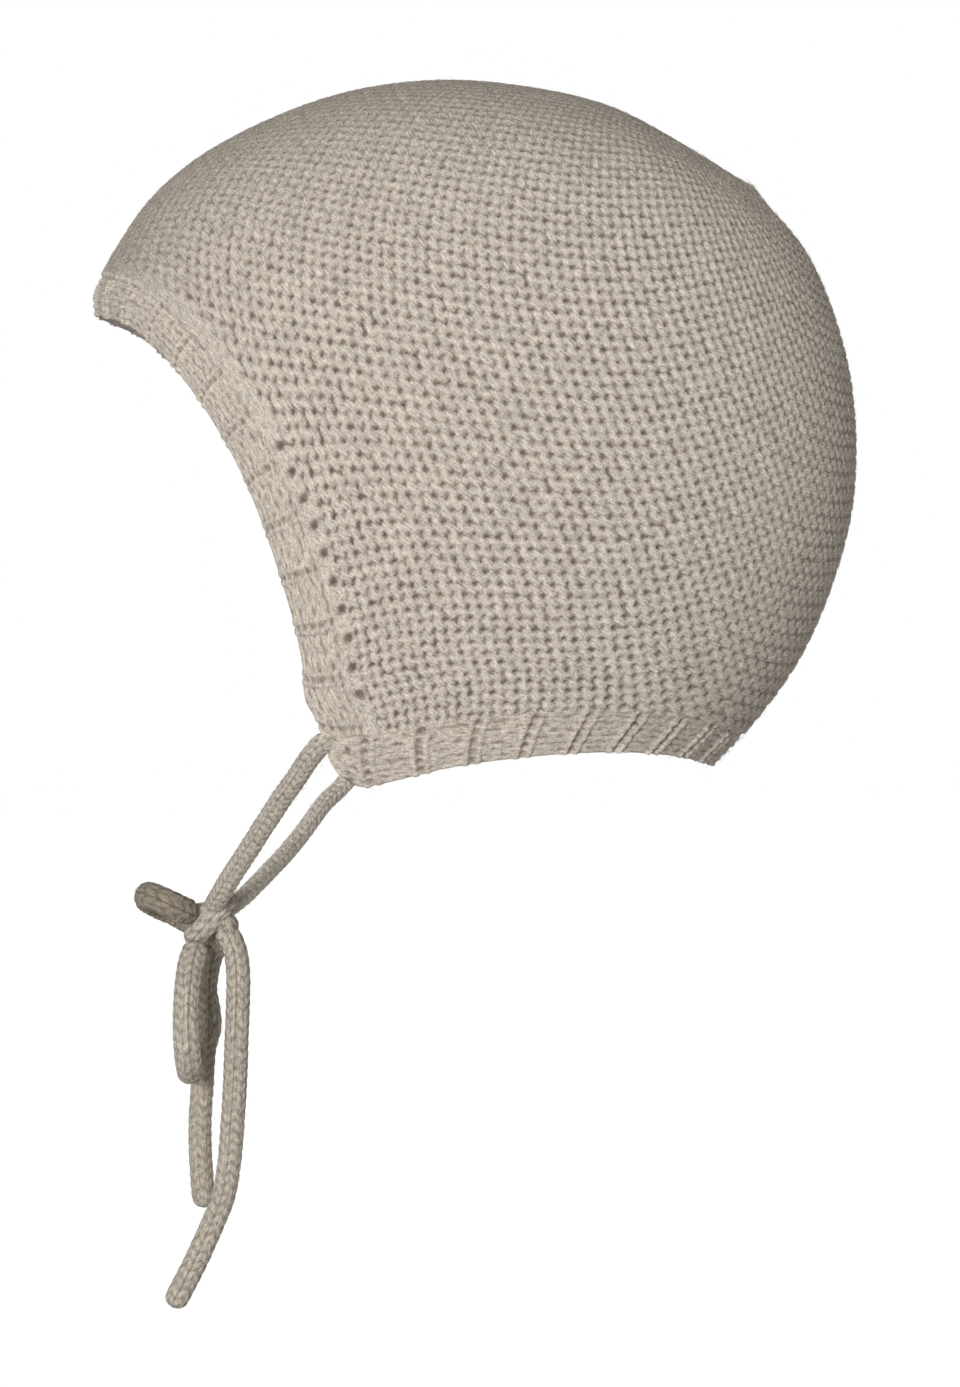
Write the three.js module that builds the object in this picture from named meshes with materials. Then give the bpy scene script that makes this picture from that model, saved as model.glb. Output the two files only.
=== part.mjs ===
// Knitted baby bonnet in its worn form: a hollow garter-stitch crown, a ribbed face band and neck band,
// and two knitted ties that meet in a bow under the chin.
// Millimetres, +Z up, the face opening towards -Y, the wearer's left at +X.
// The origin is where the top of the head bears on the inside of the crown.
import * as THREE from 'three';
import { mergeVertices } from 'three/addons/utils/BufferGeometryUtils.js';

// Driving sizes.
const capLength = 157.7;       // tip of the forehead peak to the back of the head
const capHeight = 146.6;       // lower corner of the ear flaps to the top of the crown
const capWidth = 126;          // across the widest place, over the ears
const knitWall = 2.8;          // thickness of the garter knit
const bandWall = 2.4;          // thickness of the ribbed bands between their ribs
const faceBandWidth = 10;      // rib round the face
const neckBandWidth = 10;      // rib along the neck
const flapBandExtra = 4.5;     // how much wider that rib is at the front of an ear flap
const flapBandFade = 12;       // how quickly it narrows from there
const joinGap = 0.3;           // clearance between a band and the crown
const cornerGap = 0.6;         // clearance between the two bands, at the rounded corner of a flap
const ribPitch = 10.3;         // from one pair of ribs to the next along a band
const ribHeight = 0.6;         // how far a rib stands out of its band
const faceFirstPair = 0.12;    // from the flap to the first pair of ribs on the face band, in pitches
const neckFirstPair = 0.66;    // the same on the neck band
const leftTieDiameter = 4.4;   // knitted cord where it is pulled straight
const rightTieDiameter = 3.8;  // the same on the other side, pulled tighter
const cordDiameter = 5;        // the same cord in the bow, slack
const knotLength = 13;         // the knot along its wrap, as seen from the side
const knotWidth = 11;          // the knot from left to right
const knotDepth = 9;           // the knot along the cords that pass through it

// Fullness of the head form. The widest line lies this far round from the face edge and from the neck edge.
const faceTurn = THREE.MathUtils.degToRad(25);
const neckTurn = THREE.MathUtils.degToRad(32);
const fullness = 0.82;         // below 1 the sides are fuller than an ellipse

// The four edges of one half of the bonnet, seen from the side. along is a share of the cap's length from
// the tip of the peak backwards, and up is a share of its height from the flaps to the top.
const topLine = [              // peak to nub, on the middle plane
  { along: 0.003, up: 0.668 },
  { along: 0.001, up: 0.695 },
  { along: 0.010, up: 0.722 },
  { along: 0.038, up: 0.775 },
  { along: 0.076, up: 0.832 },
  { along: 0.135, up: 0.888 },
  { along: 0.232, up: 0.945 },
  { along: 0.337, up: 0.984 },
  { along: 0.455, up: 1.000 },
  { along: 0.573, up: 0.990 },
  { along: 0.678, up: 0.963 },
  { along: 0.783, up: 0.904 },
  { along: 0.824, up: 0.877 },
  { along: 0.847, up: 0.862 },
  { along: 0.865, up: 0.853 },
];
const backLine = [             // nape to nub, on the middle plane
  { along: 0.812, up: 0.034 },
  { along: 0.867, up: 0.097 },
  { along: 0.924, up: 0.182 },
  { along: 0.961, up: 0.267 },
  { along: 0.992, up: 0.380 },
  { along: 1.000, up: 0.479 },
  { along: 0.993, up: 0.578 },
  { along: 0.974, up: 0.662 },
  { along: 0.941, up: 0.747 },
  { along: 0.913, up: 0.790 },
  { along: 0.889, up: 0.819 },
  { along: 0.865, up: 0.853 },
];
const faceEdge = [             // ear flap to peak
  { along: 0.342, up: 0.008 },
  { along: 0.329, up: 0.020 },
  { along: 0.317, up: 0.038 },
  { along: 0.308, up: 0.064 },
  { along: 0.299, up: 0.096 },
  { along: 0.284, up: 0.126 },
  { along: 0.279, up: 0.181 },
  { along: 0.268, up: 0.236 },
  { along: 0.253, up: 0.291 },
  { along: 0.227, up: 0.373 },
  { along: 0.193, up: 0.456 },
  { along: 0.146, up: 0.539 },
  { along: 0.103, up: 0.597 },
  { along: 0.054, up: 0.645 },
  { along: 0.003, up: 0.668 },
];
const neckEdge = [             // ear flap to nape
  { along: 0.342, up: 0.008 },
  { along: 0.361, up: 0.006 },
  { along: 0.393, up: 0.013 },
  { along: 0.470, up: 0.033 },
  { along: 0.546, up: 0.045 },
  { along: 0.623, up: 0.052 },
  { along: 0.702, up: 0.053 },
  { along: 0.768, up: 0.046 },
  { along: 0.812, up: 0.034 },
];
const apexAlong = 0.455;       // where the top of the head bears, as a share of the cap's length

// Routes of the cords, in millimetres: x to the wearer's left, y backwards, z up.
const leftTieRoute = [
  [51.1, -23.8, -134.2], [49.2, -25.2, -135.7], [47.2, -26.4, -137.2], [44.2, -27.8, -139.2],
  [41.0, -29.2, -141.3], [38.0, -30.7, -143.3], [35.0, -32.2, -145.4], [32.2, -33.6, -147.5],
  [29.5, -35.0, -149.6], [26.7, -36.4, -151.6], [24.0, -37.7, -153.7], [21.2, -39.1, -155.8],
  [18.5, -40.5, -157.9], [13.0, -43.3, -162.1], [8.0, -45.4, -165.6], [5.2, -46.4, -167.3],
];
const rightTieRoute = [
  [-48.9, -19.2, -141.6], [-47.4, -20.6, -143.0], [-45.8, -21.8, -144.3], [-42.0, -24.3, -146.6],
  [-39.0, -25.7, -148.4], [-36.0, -27.1, -150.4], [-33.0, -28.6, -152.5], [-30.0, -30.2, -154.6],
  [-26.5, -31.9, -156.7], [-23.0, -33.6, -158.6], [-19.5, -35.4, -160.5], [-16.0, -37.2, -162.4],
  [-13.0, -38.9, -164.1], [-10.0, -40.6, -165.8], [-4.8, -43.8, -168.3],
];
const frontLoopRoute = [
  [5.0, -51.2, -169.2], [8.4, -53.2, -168.3], [10.2, -55.8, -167.0], [9.2, -58.8, -165.7],
  [5.6, -60.5, -165.4], [1.0, -60.9, -165.8], [-3.8, -60.3, -166.7], [-7.8, -58.4, -167.9],
  [-9.8, -55.4, -169.3], [-8.2, -52.8, -170.6], [-5.1, -51.2, -171.4],
];
const downLoopRoute = [
  [3.8, -49.9, -175.4], [7.4, -51.2, -179.4], [11.2, -51.9, -184.6], [13.0, -52.2, -190.6],
  [12.2, -52.0, -196.6], [8.8, -51.6, -200.8], [4.2, -51.3, -202.2], [-0.6, -51.1, -200.6],
  [-4.0, -51.0, -196.2], [-4.8, -51.0, -190.4], [-3.8, -50.9, -184.4], [-2.3, -50.4, -179.4],
  [-1.5, -49.8, -176.0],
];
const longTailRoute = [
  [2.4, -43.6, -174.0], [3.2, -42.3, -177.0], [3.8, -41.7, -181.0], [4.0, -41.7, -187.2],
  [4.0, -42.0, -195.5], [3.8, -42.3, -204.0], [3.4, -42.8, -212.0], [3.0, -43.5, -220.4],
  [2.6, -44.7, -227.6], [2.4, -46.7, -232.8], [2.2, -48.5, -236.9], [2.0, -50.4, -241.1],
  [2.0, -52.5, -245.2], [2.0, -54.5, -249.1], [2.0, -55.3, -250.8],
];
const shortTailRoute = [
  [-6.3, -45.7, -173.5], [-9.2, -47.9, -179.4], [-10.8, -48.8, -185.2], [-11.2, -48.2, -189.3],
  [-11.0, -47.9, -193.0], [-10.6, -49.0, -197.8], [-10.2, -49.5, -205.2], [-9.8, -49.9, -212.3],
  [-9.2, -49.9, -217.7], [-8.8, -49.5, -224.5], [-8.4, -48.9, -230.7],
];
const knotCentre = [0, -47.4, -170.3];
const knotTilt = THREE.MathUtils.degToRad(42);

// Fineness of the facets.
const crownSteps = 22;         // from the face band to the back, and from the neck band to the top
const crownCrowding = 1.25;    // above 1 the facets are closer together low down, by the flap's corner
const bandSteps = 3;           // across a band
const cordSides = 10;
const cordStep = 1.2;          // diameters from one ring of a cord to the next
const knotSteps = 8;
const knotSides = 14;
const edgeSteps = 240;         // along an edge, where its length is measured
const stripSteps = 300;        // along the whole way round, where the width of a strip is measured
const widestStrip = 0.5;       // no strip is wider than this share of the way round
const normalStep = 0.004;      // share of the way round over which the slope of the knit is taken
const settlePasses = 4;        // times that a place between two curved edges is worked out again
const mergeDistance = 1e-4;

const knitMaterial = new THREE.MeshStandardMaterial({ color: 0xbeb5a8, roughness: 0.95, metalness: 0 });
const bandMaterial = new THREE.MeshStandardMaterial({ color: 0xc2b9ab, roughness: 0.95, metalness: 0 });
const cordMaterial = new THREE.MeshStandardMaterial({ color: 0xbbb2a5, roughness: 0.95, metalness: 0 });

const { lerp } = THREE.MathUtils;

// A smooth line through the rows of a table, in the side view: (y, z) in millimetres.
function edgeCurve(rows) {
  const points = rows.map((row) => new THREE.Vector3(
    0,
    (row.along - apexAlong) * capLength,
    (row.up - 1) * capHeight + knitWall,
  ));
  const curve = new THREE.CatmullRomCurve3(points);
  curve.arcLengthDivisions = 400;
  return curve;
}

const topCurve = edgeCurve(topLine);
const backCurve = edgeCurve(backLine);
const faceCurve = edgeCurve(faceEdge);
const neckCurve = edgeCurve(neckEdge);

// Turns a share of the way round into a share of the distance seen from the side, and a share of the width.
function turned(share, startTurn) {
  const angle = -startTurn + share * (Math.PI / 2 + startTurn);
  const start = Math.sin(startTurn);
  return {
    distance: (Math.sin(angle) + start) / (1 + start),
    width: Math.pow(Math.max(Math.cos(angle), 0), fullness),
  };
}

// A point on the outside of the left half. round runs from the face edge (0) to the middle of the back (1),
// and rise from the neck edge (0) to the middle of the top (1).
function outside(round, rise) {
  const back = turned(round, faceTurn);
  const up = turned(rise, neckTurn);
  const g = back.distance;
  const h = up.distance;
  const point = neckCurve.getPointAt(g).multiplyScalar(1 - h)
    .addScaledVector(topCurve.getPointAt(g), h)
    .addScaledVector(faceCurve.getPointAt(h), 1 - g)
    .addScaledVector(backCurve.getPointAt(h), g)
    .addScaledVector(faceCurve.getPointAt(0), -(1 - g) * (1 - h))
    .addScaledVector(topCurve.getPointAt(0), -(1 - g) * h)
    .addScaledVector(neckCurve.getPointAt(1), -g * (1 - h))
    .addScaledVector(topCurve.getPointAt(1), -g * h);
  point.x = (capWidth / 2) * back.width * up.width;
  return point;
}

// The direction that points out of the knit. On the middle plane it lies in that plane.
function outward(round, rise) {
  const r = Math.min(Math.max(round, normalStep), 1 - normalStep);
  const s = Math.min(Math.max(rise, normalStep), 1 - normalStep);
  const alongRound = outside(r + normalStep, s).sub(outside(r - normalStep, s));
  const alongRise = outside(r, s + normalStep).sub(outside(r, s - normalStep));
  const normal = alongRound.cross(alongRise).normalize();
  if (round >= 1 || rise >= 1) {
    normal.x = 0;
    normal.normalize();
  }
  return normal;
}

// How far a strip of the given width reaches from its edge, as a share of the way that pointAt follows.
function shareAcross(width, pointAt) {
  const step = 1 / stripSteps;
  let share = 0;
  let reached = 0;
  let last = pointAt(0);
  while (share < widestStrip) {
    const next = pointAt(share + step);
    const length = next.distanceTo(last);
    if (reached + length >= width) {
      return share + step * (width - reached) / length;
    }
    share += step;
    reached += length;
    last = next;
  }
  return share;
}

// A smooth run of values through one at the start, one at the middle and one at the end.
function through(start, middle, end) {
  return (share) => start * (1 - share) * (1 - 2 * share)
    + middle * 4 * share * (1 - share)
    + end * share * (2 * share - 1);
}

// How far round a strip of this width reaches from the face edge, and how far up one from the neck edge.
function faceStrip(width) {
  const at = (rise) => shareAcross(width, (round) => outside(round, rise));
  return through(at(0), at(0.5), at(1));
}

function neckStrip(width) {
  const at = (round, reach) => shareAcross(reach, (rise) => outside(round, rise));
  const even = through(at(0, width), at(0.5, width), at(1, width));
  const extra = at(0, width + flapBandExtra) - at(0, width);
  return (round) => even(round) + extra * Math.pow(1 - round, flapBandFade);
}

const bandInnerEdge = faceStrip(faceBandWidth);
const crownFrontEdge = faceStrip(faceBandWidth + joinGap);
const neckBandTop = neckStrip(neckBandWidth);
const aboveNeckBand = neckStrip(neckBandWidth + joinGap);
const faceBandFoot = neckStrip(neckBandWidth + cornerGap);

// Distances along a line, and the shares at which they are reached.
function measured(pointAt) {
  const reached = [0];
  let last = pointAt(0);
  for (let i = 1; i <= edgeSteps; i += 1) {
    const next = pointAt(i / edgeSteps);
    reached.push(reached[i - 1] + next.distanceTo(last));
    last = next;
  }
  const shareAt = (distance) => {
    let i = 1;
    while (i < edgeSteps && reached[i] < distance) {
      i += 1;
    }
    const part = (distance - reached[i - 1]) / (reached[i] - reached[i - 1]);
    return Math.min(Math.max((i - 1 + part) / edgeSteps, 0), 1);
  };
  return { length: reached[edgeSteps], shareAt };
}

// One pair of ribs: where the facets change along one pitch, and how high the band stands there.
const betweenRibs = 0.3;       // height of the groove between the two ribs, as a share of theirs
const shortestFacet = 0.02;    // of a pitch, at the end of a band
const ribPair = [
  { along: -0.50, height: 0 },
  { along: -0.18, height: 0 },
  { along: -0.09, height: 1 },
  { along: 0.00, height: betweenRibs },
  { along: 0.09, height: 1 },
  { along: 0.18, height: 0 },
];

// The stations along half a band: a distance and a rib height for each, from its free end to the middle.
function ribStations(length, firstPair) {
  const pairs = Math.round(length / ribPitch - firstPair);
  const pitch = length / (pairs + firstPair);
  const stations = [{ distance: 0, height: 0 }];
  for (let pair = 0; pair < pairs; pair += 1) {
    for (const row of ribPair) {
      const distance = (pair + firstPair + row.along) * pitch;
      if (distance > pitch * shortestFacet) {
        stations.push({ distance, height: row.height });
      }
    }
  }
  stations.push({ distance: length, height: betweenRibs });
  return stations;
}

// A closed sheet with a thickness. Its grid has rows of points, each with an outside and an inside.
// Where folded is true, the last point of a row meets that of the mirrored row, on the middle plane.
function sheetGeometry(rows, folded) {
  const across = rows[0].length;
  const positions = [];
  for (const row of rows) {
    for (const { outer, inner } of row) {
      positions.push(outer.x, outer.y, outer.z, inner.x, inner.y, inner.z);
    }
  }
  const outerAt = (j, i) => 2 * (j * across + i);
  const innerAt = (j, i) => outerAt(j, i) + 1;
  const index = [];
  const quad = (a, b, c, d) => index.push(a, b, c, a, c, d);
  const last = rows.length - 1;
  for (let j = 0; j < last; j += 1) {
    for (let i = 0; i < across - 1; i += 1) {
      quad(outerAt(j, i), outerAt(j, i + 1), outerAt(j + 1, i + 1), outerAt(j + 1, i));
      quad(innerAt(j, i), innerAt(j + 1, i), innerAt(j + 1, i + 1), innerAt(j, i + 1));
    }
    quad(innerAt(j, 0), outerAt(j, 0), outerAt(j + 1, 0), innerAt(j + 1, 0));
    if (!folded) {
      const end = across - 1;
      quad(outerAt(j, end), innerAt(j, end), innerAt(j + 1, end), outerAt(j + 1, end));
    }
  }
  for (let i = 0; i < across - 1; i += 1) {
    quad(innerAt(0, i), innerAt(0, i + 1), outerAt(0, i + 1), outerAt(0, i));
    quad(outerAt(last, i), outerAt(last, i + 1), innerAt(last, i + 1), innerAt(last, i));
  }
  const geometry = new THREE.BufferGeometry();
  geometry.setAttribute('position', new THREE.Float32BufferAttribute(positions, 3));
  geometry.setIndex(index);
  return mergeVertices(geometry, mergeDistance);
}

// The two faces of the knit at a place: lift moves the outer face out of the head form.
function faces(round, rise, lift) {
  const surface = outside(round, rise);
  const normal = outward(round, rise);
  return {
    outer: surface.clone().addScaledVector(normal, lift),
    inner: surface.clone().addScaledVector(normal, -knitWall),
  };
}

const mirrored = ({ outer, inner }) => ({
  outer: new THREE.Vector3(-outer.x, outer.y, outer.z),
  inner: new THREE.Vector3(-inner.x, inner.y, inner.z),
});

// The left half's rows, the last of which lies on the middle plane, and the same again for the right half.
function bothHalves(leftRows) {
  const rightRows = leftRows.slice(0, -1).reverse().map((row) => row.map(mirrored));
  return [...leftRows, ...rightRows];
}

function crownGeometry() {
  const rows = [];
  for (let j = 0; j <= crownSteps; j += 1) {
    const row = [];
    for (let i = 0; i <= crownSteps; i += 1) {
      let round = i / crownSteps;
      let rise = Math.pow(j / crownSteps, crownCrowding);
      for (let pass = 0; pass < settlePasses; pass += 1) {
        round = lerp(crownFrontEdge(rise), 1, i / crownSteps);
        rise = lerp(aboveNeckBand(round), 1, Math.pow(j / crownSteps, crownCrowding));
      }
      row.push(faces(round, rise, 0));
    }
    rows.push(row);
  }
  return sheetGeometry(bothHalves(rows), true);
}

const bandDrop = bandWall - knitWall;

function faceBandGeometry() {
  const foot = faceBandFoot(0);
  const edge = measured((share) => outside(0, lerp(foot, 1, share)));
  const rows = ribStations(edge.length, faceFirstPair).map(({ distance, height }) => {
    const share = edge.shareAt(distance);
    const row = [];
    for (let i = 0; i <= bandSteps; i += 1) {
      let round = 0;
      let rise = lerp(foot, 1, share);
      for (let pass = 0; pass < settlePasses; pass += 1) {
        round = bandInnerEdge(rise) * i / bandSteps;
        rise = lerp(faceBandFoot(round), 1, share);
      }
      row.push(faces(round, rise, bandDrop + ribHeight * height));
    }
    return row;
  });
  return sheetGeometry(bothHalves(rows), false);
}

function neckBandGeometry() {
  const edge = measured((share) => outside(share, 0));
  const rows = ribStations(edge.length, neckFirstPair).map(({ distance, height }) => {
    const round = edge.shareAt(distance);
    const row = [];
    for (let i = bandSteps; i >= 0; i -= 1) {
      row.push(faces(round, neckBandTop(round) * i / bandSteps, bandDrop + ribHeight * height));
    }
    return row;
  });
  return sheetGeometry(bothHalves(rows), false);
}

// A round knitted cord along a route, with flat ends.
function cordGeometry(route, diameter) {
  const path = new THREE.CatmullRomCurve3(route.map((point) => new THREE.Vector3(...point)));
  const section = new THREE.Shape();
  for (let side = 0; side < cordSides; side += 1) {
    const angle = 2 * Math.PI * side / cordSides;
    const x = Math.cos(angle) * diameter / 2;
    const y = Math.sin(angle) * diameter / 2;
    if (side === 0) {
      section.moveTo(x, y);
    } else {
      section.lineTo(x, y);
    }
  }
  const steps = Math.max(4, Math.round(path.getLength() / (diameter * cordStep)));
  const geometry = new THREE.ExtrudeGeometry(section, { steps, bevelEnabled: false, extrudePath: path });
  geometry.deleteAttribute('normal');
  geometry.deleteAttribute('uv');
  return mergeVertices(geometry, mergeDistance);
}

// The knot, a rounded lump about the line of the cords that pass through it.
function knotGeometry() {
  const profile = [];
  for (let i = 0; i <= knotSteps; i += 1) {
    const angle = Math.PI * (i / knotSteps - 0.5);
    profile.push(new THREE.Vector2(
      Math.max(Math.cos(angle), 0) * knotLength / 2,
      Math.sin(angle) * knotDepth / 2,
    ));
  }
  profile[0].x = 0;
  profile[knotSteps].x = 0;
  const geometry = new THREE.LatheGeometry(profile, knotSides);
  geometry.scale(knotWidth / knotLength, 1, 1);
  geometry.deleteAttribute('normal');
  geometry.deleteAttribute('uv');
  return mergeVertices(geometry, mergeDistance);
}

function part(name, geometry, material) {
  const mesh = new THREE.Mesh(geometry, material);
  mesh.name = name;
  return mesh;
}

const bonnet = new THREE.Group();
bonnet.add(part('crown', crownGeometry(), knitMaterial));
bonnet.add(part('face_band', faceBandGeometry(), bandMaterial));
bonnet.add(part('neck_band', neckBandGeometry(), bandMaterial));
bonnet.add(part('left_tie', cordGeometry(leftTieRoute, leftTieDiameter), cordMaterial));
bonnet.add(part('right_tie', cordGeometry(rightTieRoute, rightTieDiameter), cordMaterial));
bonnet.add(part('front_loop', cordGeometry(frontLoopRoute, cordDiameter), cordMaterial));
bonnet.add(part('down_loop', cordGeometry(downLoopRoute, cordDiameter), cordMaterial));
bonnet.add(part('long_tail', cordGeometry(longTailRoute, cordDiameter), cordMaterial));
bonnet.add(part('short_tail', cordGeometry(shortTailRoute, cordDiameter), cordMaterial));

const knot = part('bow_knot', knotGeometry(), cordMaterial);
knot.position.set(...knotCentre);
knot.rotation.x = -knotTilt;
bonnet.add(knot);

export default bonnet;
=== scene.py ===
import math

import bpy
import numpy as np
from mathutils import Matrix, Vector


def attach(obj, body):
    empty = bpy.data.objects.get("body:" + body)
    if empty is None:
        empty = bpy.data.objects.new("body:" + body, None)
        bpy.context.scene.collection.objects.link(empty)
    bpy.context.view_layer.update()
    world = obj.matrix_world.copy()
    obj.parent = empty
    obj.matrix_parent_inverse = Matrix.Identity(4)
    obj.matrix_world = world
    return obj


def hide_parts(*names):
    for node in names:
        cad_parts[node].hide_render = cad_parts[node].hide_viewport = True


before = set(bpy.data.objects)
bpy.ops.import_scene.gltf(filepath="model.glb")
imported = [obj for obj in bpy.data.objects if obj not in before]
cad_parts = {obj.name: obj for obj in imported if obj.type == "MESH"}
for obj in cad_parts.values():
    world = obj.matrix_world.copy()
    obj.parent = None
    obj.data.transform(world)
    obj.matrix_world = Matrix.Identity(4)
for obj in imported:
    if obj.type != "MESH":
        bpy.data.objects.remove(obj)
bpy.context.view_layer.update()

bpy.ops.object.select_all(action="DESELECT")


# Camera.
# It looks at the wearer's left side from two metres away, level with the middle of the photograph,
# and takes in the photograph's width and height where the bonnet hangs.
photo_height = 1387
metres_per_pixel = 0.000207
camera_distance = 2.0
photo_middle = (0.0083, -0.1238)
bpy.ops.object.camera_add(
    location=(camera_distance, *photo_middle), rotation=(math.pi / 2, 0, math.pi / 2)
)
camera = bpy.context.object
camera.name = "photo_camera"
camera.data.sensor_width = 36
camera.data.lens = camera.data.sensor_width * camera_distance / (photo_height * metres_per_pixel)
camera.data.clip_end = 60
bpy.context.scene.camera = camera


# Light.
# A white studio: a pale glow from all round, a soft light level with the bonnet from the camera's side and
# a little from the front, and a weaker one from the far side. The walls look plain white.
bpy.context.scene.view_settings.view_transform = "Standard"
glow_strength = 0.35
studio = bpy.data.worlds.new("white_studio")
studio.use_nodes = True
walls = studio.node_tree.nodes["Background"]
walls.inputs["Color"].default_value = (1.0, 1.0, 1.0, 1)
glow = studio.node_tree.nodes.new("ShaderNodeBackground")
glow.inputs["Color"].default_value = (1.0, 1.0, 1.0, 1)
glow.inputs["Strength"].default_value = glow_strength
seen = studio.node_tree.nodes.new("ShaderNodeLightPath")
mix = studio.node_tree.nodes.new("ShaderNodeMixShader")
studio.node_tree.links.new(seen.outputs["Is Camera Ray"], mix.inputs["Fac"])
studio.node_tree.links.new(glow.outputs["Background"], mix.inputs[1])
studio.node_tree.links.new(walls.outputs["Background"], mix.inputs[2])
studio.node_tree.links.new(mix.outputs["Shader"], studio.node_tree.nodes["World Output"].inputs["Surface"])
bpy.context.scene.world = studio
soft_lights = [
    {"name": "camera_side", "from": (1.0, -0.27, 0.03), "strength": 4.35, "spread": 22},
    {"name": "far_side", "from": (-1.0, 0.1, 0.04), "strength": 2.8, "spread": 30},
]
for soft in soft_lights:
    direction = Vector(soft["from"])
    bpy.ops.object.light_add(type="SUN", location=direction * 2)
    lamp = bpy.context.object
    lamp.name = "light_" + soft["name"]
    lamp.data.energy = soft["strength"]
    lamp.data.angle = math.radians(soft["spread"])
    lamp.rotation_euler = direction.to_track_quat("Z", "Y").to_euler()


# Ties, loops and tails.
# Knitted cords of soft wool, knitted in the round so that small V stitches run along them. Each is sewn
# to the corner of an ear flap, and the two are tied in a bow. Their routes are those of the solids.
cord_diameter = 0.005
left_tie_diameter = 0.0044
right_tie_diameter = 0.0038
cord_stitch = 0.00215
cord_columns = 5
cord_relief = 0.00024
cord_ring_gap = 0.00028
cord_sides = 48
cord_twist = 9.0
cord_surface_height = 0.85
bump_roundness = 0.6
height_wildness = 1.5
crease_angle = math.radians(80)
share_into_knot = 0.55
left_tie_route = [
    (0.0511, -0.0238, -0.1342), (0.0492, -0.0252, -0.1357), (0.0472, -0.0264, -0.1372),
    (0.0442, -0.0278, -0.1392), (0.0410, -0.0292, -0.1413), (0.0380, -0.0307, -0.1433),
    (0.0350, -0.0322, -0.1454), (0.0322, -0.0336, -0.1475), (0.0295, -0.0350, -0.1496),
    (0.0267, -0.0364, -0.1516), (0.0240, -0.0377, -0.1537), (0.0212, -0.0391, -0.1558),
    (0.0185, -0.0405, -0.1579), (0.0130, -0.0433, -0.1621), (0.0080, -0.0454, -0.1656),
    (0.0052, -0.0464, -0.1673),
]
right_tie_route = [
    (-0.0489, -0.0192, -0.1416), (-0.0474, -0.0206, -0.1430), (-0.0458, -0.0218, -0.1443),
    (-0.0420, -0.0243, -0.1466), (-0.0390, -0.0257, -0.1484), (-0.0360, -0.0271, -0.1504),
    (-0.0330, -0.0286, -0.1525), (-0.0300, -0.0302, -0.1546), (-0.0265, -0.0319, -0.1567),
    (-0.0230, -0.0336, -0.1586), (-0.0195, -0.0354, -0.1605), (-0.0160, -0.0372, -0.1624),
    (-0.0130, -0.0389, -0.1641), (-0.0100, -0.0406, -0.1658), (-0.0048, -0.0438, -0.1683),
]
front_loop_route = [
    (0.0050, -0.0512, -0.1692), (0.0084, -0.0532, -0.1683), (0.0102, -0.0558, -0.1670),
    (0.0092, -0.0588, -0.1657), (0.0056, -0.0605, -0.1654), (0.0010, -0.0609, -0.1658),
    (-0.0038, -0.0603, -0.1667), (-0.0078, -0.0584, -0.1679), (-0.0098, -0.0554, -0.1693),
    (-0.0082, -0.0528, -0.1706), (-0.0051, -0.0512, -0.1714),
]
down_loop_route = [
    (0.0038, -0.0499, -0.1754), (0.0074, -0.0512, -0.1794), (0.0112, -0.0519, -0.1846),
    (0.0130, -0.0522, -0.1906), (0.0122, -0.0520, -0.1966), (0.0088, -0.0516, -0.2008),
    (0.0042, -0.0513, -0.2022), (-0.0006, -0.0511, -0.2006), (-0.0040, -0.0510, -0.1962),
    (-0.0048, -0.0510, -0.1904), (-0.0038, -0.0509, -0.1844), (-0.0023, -0.0504, -0.1794),
    (-0.0015, -0.0498, -0.1760),
]
long_tail_route = [
    (0.0024, -0.0436, -0.1740), (0.0032, -0.0423, -0.1770), (0.0038, -0.0417, -0.1810),
    (0.0040, -0.0417, -0.1872), (0.0040, -0.0420, -0.1955), (0.0038, -0.0423, -0.2040),
    (0.0034, -0.0428, -0.2120), (0.0030, -0.0435, -0.2204), (0.0026, -0.0447, -0.2276),
    (0.0024, -0.0467, -0.2328), (0.0022, -0.0485, -0.2369), (0.0020, -0.0504, -0.2411),
    (0.0020, -0.0525, -0.2452), (0.0020, -0.0545, -0.2491), (0.0020, -0.0553, -0.2508),
]
short_tail_route = [
    (-0.0063, -0.0457, -0.1735), (-0.0092, -0.0479, -0.1794), (-0.0108, -0.0488, -0.1852),
    (-0.0112, -0.0482, -0.1893), (-0.0110, -0.0479, -0.1930), (-0.0106, -0.0490, -0.1978),
    (-0.0102, -0.0495, -0.2052), (-0.0098, -0.0499, -0.2123), (-0.0092, -0.0499, -0.2177),
    (-0.0088, -0.0495, -0.2245), (-0.0084, -0.0489, -0.2307),
]
knot_centre = np.array([0, -0.0474, -0.1703])

# One V of the knitted cord: two slanting legs, placed in shares of a stitch and of a column of stitches.
cord_legs = [
    {"row": 0.0, "place": 0.25, "length": 0.00160, "width": 0.00074, "tilt": 57, "height": 1.0},
    {"row": 0.0, "place": 0.75, "length": 0.00160, "width": 0.00074, "tilt": -57, "height": 1.0},
]


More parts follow.
